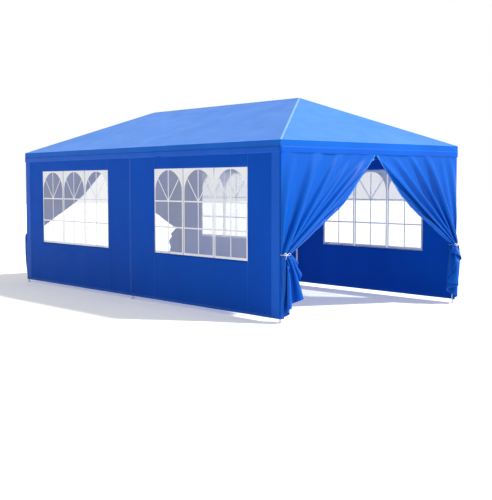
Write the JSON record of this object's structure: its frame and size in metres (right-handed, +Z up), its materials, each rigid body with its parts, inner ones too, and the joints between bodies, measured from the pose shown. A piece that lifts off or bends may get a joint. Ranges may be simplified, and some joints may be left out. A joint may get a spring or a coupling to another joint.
{
  "type": "party tent canopy",
  "caption": "Hip-roofed canopy tent on a white steel pole frame, with a blue roof cover, arched-window side walls and door curtains tied back at both ends.",
  "frame": {"origin": "on the ground under the middle of the tent", "axes": "+X along the tent's length towards the right-hand door, -Y towards the front long side, +Z up"},
  "size_m": [6.164, 3.018, 2.62],
  "materials": {
    "white_tube": "gloss white powder coat",
    "connector": "white powder coat over welded sleeves",
    "foot": "white powder coat",
    "button": "plated",
    "roof_fabric": "woven polyethylene, slight sheen",
    "wall_fabric": "woven polyethylene, slight sheen",
    "window_film": "clear film with printed white arched bars",
    "tie_cord": "white braided cord",
    "zip_metal": "plated zip slider"
  },
  "bodies": {
    "frame": {"upper_leg_front_left": "white_tube", "lower_leg_front_left": "white_tube", "upper_leg_front_middle": "white_tube", "lower_leg_front_middle": "white_tube", "upper_leg_front_right": "white_tube", "lower_leg_front_right": "white_tube", "upper_leg_rear_left": "white_tube", "lower_leg_rear_left": "white_tube", "upper_leg_rear_middle": "white_tube", "lower_leg_rear_middle": "white_tube", "upper_leg_rear_right": "white_tube", "lower_leg_rear_right": "white_tube", "eave_tubes_front": "white_tube", "eave_tubes_rear": "white_tube", "eave_tube_left_end": "white_tube", "eave_tube_right_end": "white_tube", "hip_rafter_front_left": "white_tube", "middle_rafter_front_left": "white_tube", "hip_rafter_rear_left": "white_tube", "middle_rafter_rear_left": "white_tube", "hip_rafter_front_right": "white_tube", "middle_rafter_front_right": "white_tube", "hip_rafter_rear_right": "white_tube", "middle_rafter_rear_right": "white_tube", "ridge_tube": "white_tube", "corner_connector_front_left": "connector", "corner_connector_rear_left": "connector", "peak_hub_left": "connector", "corner_connector_front_right": "connector", "corner_connector_rear_right": "connector", "peak_hub_right": "connector", "side_connector_front": "connector", "side_connector_rear": "connector", "window_wall_front_left": "wall_fabric", "window_wall_front_right": "wall_fabric", "window_wall_rear_left": "wall_fabric", "window_wall_rear_right": "wall_fabric", "window_films": "window_film", "roof_cover": "roof_fabric", "door_curtain_left_front": "wall_fabric", "door_curtain_left_rear": "wall_fabric", "door_curtain_right_front": "wall_fabric", "door_curtain_right_rear": "wall_fabric", "door_ties": "tie_cord"},
    "foot_front_left": {"foot_plate_front_left": "foot"},
    "button_front_left": {"leg_button_front_left": "button"},
    "foot_front_middle": {"foot_plate_front_middle": "foot"},
    "button_front_middle": {"leg_button_front_middle": "button"},
    "foot_front_right": {"foot_plate_front_right": "foot"},
    "button_front_right": {"leg_button_front_right": "button"},
    "foot_rear_left": {"foot_plate_rear_left": "foot"},
    "button_rear_left": {"leg_button_rear_left": "button"},
    "foot_rear_middle": {"foot_plate_rear_middle": "foot"},
    "button_rear_middle": {"leg_button_rear_middle": "button"},
    "foot_rear_right": {"foot_plate_rear_right": "foot"},
    "button_rear_right": {"leg_button_rear_right": "button"},
    "slider_left": {"zip_slider_left": "zip_metal"},
    "pull_left": {"zip_pull_left": "zip_metal"},
    "slider_right": {"zip_slider_right": "zip_metal"},
    "pull_right": {"zip_pull_right": "zip_metal"}
  },
  "joints": [
    {"name": "foot_swivel_front_left", "type": "hinge", "parent": "frame", "child": "foot_front_left", "pos_m": [-2.973, -1.473, 0.0015], "axis": [0, 0, 1], "continuous": true},
    {"name": "leg_button_press_front_left", "type": "slide", "parent": "frame", "child": "button_front_left", "axis": [0, -1, 0], "range_m": [0, 0.0035], "stiffness_N_per_m": 600},
    {"name": "foot_swivel_front_middle", "type": "hinge", "parent": "frame", "child": "foot_front_middle", "pos_m": [0, -1.473, 0.0015], "axis": [0, 0, 1], "continuous": true},
    {"name": "leg_button_press_front_middle", "type": "slide", "parent": "frame", "child": "button_front_middle", "axis": [0, -1, 0], "range_m": [0, 0.0035], "stiffness_N_per_m": 600},
    {"name": "foot_swivel_front_right", "type": "hinge", "parent": "frame", "child": "foot_front_right", "pos_m": [2.973, -1.473, 0.0015], "axis": [0, 0, 1], "continuous": true},
    {"name": "leg_button_press_front_right", "type": "slide", "parent": "frame", "child": "button_front_right", "axis": [0, -1, 0], "range_m": [0, 0.0035], "stiffness_N_per_m": 600},
    {"name": "foot_swivel_rear_left", "type": "hinge", "parent": "frame", "child": "foot_rear_left", "pos_m": [-2.973, 1.473, 0.0015], "axis": [0, 0, 1], "continuous": true},
    {"name": "leg_button_press_rear_left", "type": "slide", "parent": "frame", "child": "button_rear_left", "axis": [0, 1, 0], "range_m": [0, 0.0035], "stiffness_N_per_m": 600},
    {"name": "foot_swivel_rear_middle", "type": "hinge", "parent": "frame", "child": "foot_rear_middle", "pos_m": [0, 1.473, 0.0015], "axis": [0, 0, 1], "continuous": true},
    {"name": "leg_button_press_rear_middle", "type": "slide", "parent": "frame", "child": "button_rear_middle", "axis": [0, 1, 0], "range_m": [0, 0.0035], "stiffness_N_per_m": 600},
    {"name": "foot_swivel_rear_right", "type": "hinge", "parent": "frame", "child": "foot_rear_right", "pos_m": [2.973, 1.473, 0.0015], "axis": [0, 0, 1], "continuous": true},
    {"name": "leg_button_press_rear_right", "type": "slide", "parent": "frame", "child": "button_rear_right", "axis": [0, 1, 0], "range_m": [0, 0.0035], "stiffness_N_per_m": 600},
    {"name": "zip_slide_left", "type": "slide", "parent": "frame", "child": "slider_left", "axis": [0, -0.6728, -0.7398], "range_m": [0, 0.4]},
    {"name": "zip_pull_swing_left", "type": "hinge", "parent": "slider_left", "child": "pull_left", "pos_m": [-2.9983, -0.03728, 1.81413], "axis": [0, 0.7398, -0.6728], "range_deg": [0, 90]},
    {"name": "zip_slide_right", "type": "slide", "parent": "frame", "child": "slider_right", "axis": [0, -0.6728, -0.7398], "range_m": [0, 0.4]},
    {"name": "zip_pull_swing_right", "type": "hinge", "parent": "slider_right", "child": "pull_right", "pos_m": [2.9983, -0.03728, 1.81413], "axis": [0, -0.7398, 0.6728], "range_deg": [0, 90]}
  ]
}
